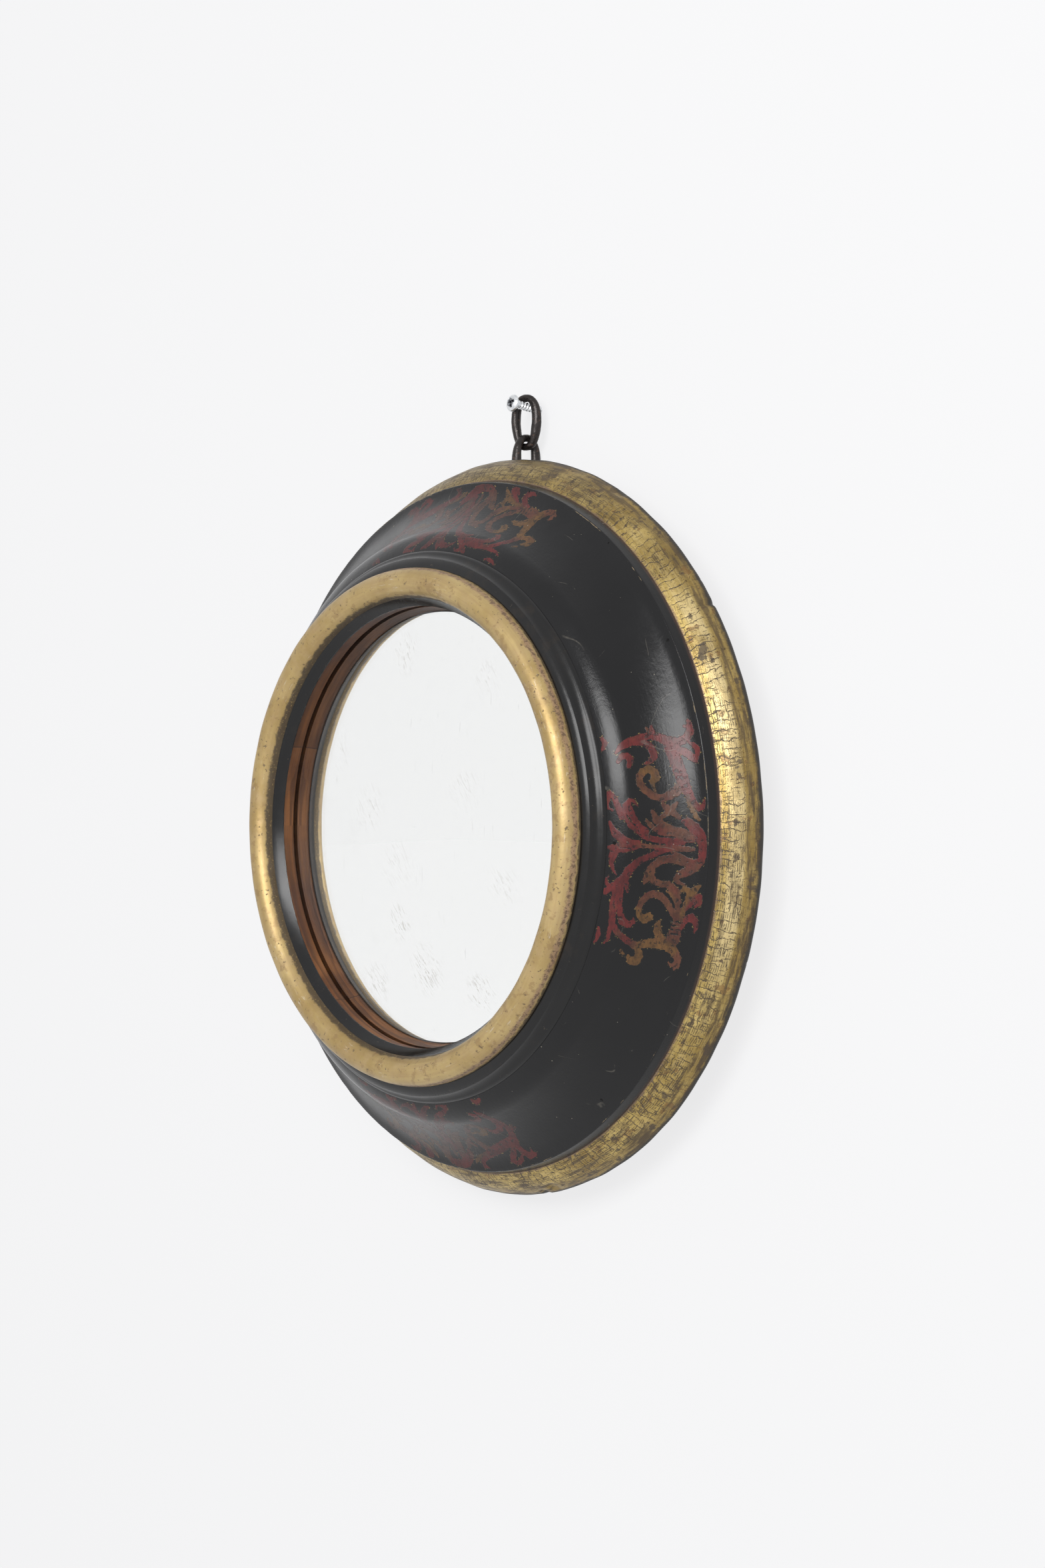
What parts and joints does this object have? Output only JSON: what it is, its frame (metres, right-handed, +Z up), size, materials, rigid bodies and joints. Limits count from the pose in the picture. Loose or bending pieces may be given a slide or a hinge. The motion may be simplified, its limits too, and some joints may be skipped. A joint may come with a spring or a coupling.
{
  "type": "convex wall mirror",
  "caption": "Round convex mirror in a turned gilt and black-lacquered frame, with battened back, hung on a wall screw by chain links.",
  "frame": {"origin": "point where the wall screw's axis enters the wall, on the wall plane", "axes": "+Z up, +X to the right as seen from the room, +Y into the wall; the mirror faces -Y"},
  "size_m": [0.4, 0.1272, 0.4368],
  "materials": {
    "gilding": "old water gilding over red bole, crackled, rubbed and browned",
    "black_lacquer": "black lacquer, satin, with red and ochre scroll painting, specks and scratches",
    "bare_wood": "bare brown wood, dusty",
    "back_boards": "old planed softwood boards, oxidised brown",
    "old_softwood": "old sawn softwood",
    "black_iron": "forged iron, black scale with rust",
    "mirror_glass": "old convex glass, clear with fine scratches",
    "silvering": "mercury silvering with faint foxing at the edge",
    "zinc_steel": "dull zinc plating"
  },
  "bodies": {
    "wall_screw": {"wall_screw": "zinc_steel"},
    "upper_link": {"upper_link": "black_iron"},
    "lower_link": {"lower_link": "black_iron"},
    "frame": {"rim_segment_1": "gilding", "rim_segment_2": "gilding", "rim_segment_3": "gilding", "rim_segment_4": "gilding", "rim_segment_5": "gilding", "rim_segment_6": "gilding", "rear_moulding_segment_1": "black_lacquer", "rear_moulding_segment_2": "black_lacquer", "rear_moulding_segment_3": "black_lacquer", "rear_moulding_segment_4": "black_lacquer", "rear_moulding_segment_5": "black_lacquer", "rear_moulding_segment_6": "black_lacquer", "front_moulding_segment_1": "black_lacquer", "front_moulding_segment_2": "black_lacquer", "front_moulding_segment_3": "black_lacquer", "front_moulding_segment_4": "black_lacquer", "front_moulding_segment_5": "black_lacquer", "front_moulding_segment_6": "black_lacquer", "step_ring": "black_lacquer", "gilt_bead": "gilding", "sight_lip": "black_lacquer", "rebate_liner": "bare_wood", "convex_glass": "mirror_glass", "mirror_silvering": "silvering", "glazing_blocks": "old_softwood", "glazing_sprigs": "black_iron", "back_board_left": "back_boards", "back_board_centre": "back_boards", "back_board_right": "back_boards", "back_board_nails": "black_iron", "upper_batten": "old_softwood", "lower_batten": "old_softwood", "batten_screws": "black_iron", "hanging_staple": "black_iron"}
  },
  "joints": [
    {"name": "chain_swing", "type": "hinge", "parent": "wall_screw", "child": "upper_link", "pos_m": [0, -0.01, 0.0014], "axis": [0, 1, 0], "range_deg": [-25, 25]},
    {"name": "lower_link_tilt", "type": "hinge", "parent": "upper_link", "child": "lower_link", "pos_m": [0, -0.01, -0.02059], "axis": [-1, 0, 0], "range_deg": [0, 45]},
    {"name": "frame_tilt", "type": "hinge", "parent": "lower_link", "child": "frame", "pos_m": [0, -0.01, -0.0378], "axis": [-1, 0, 0], "range_deg": [0, 4]}
  ]
}
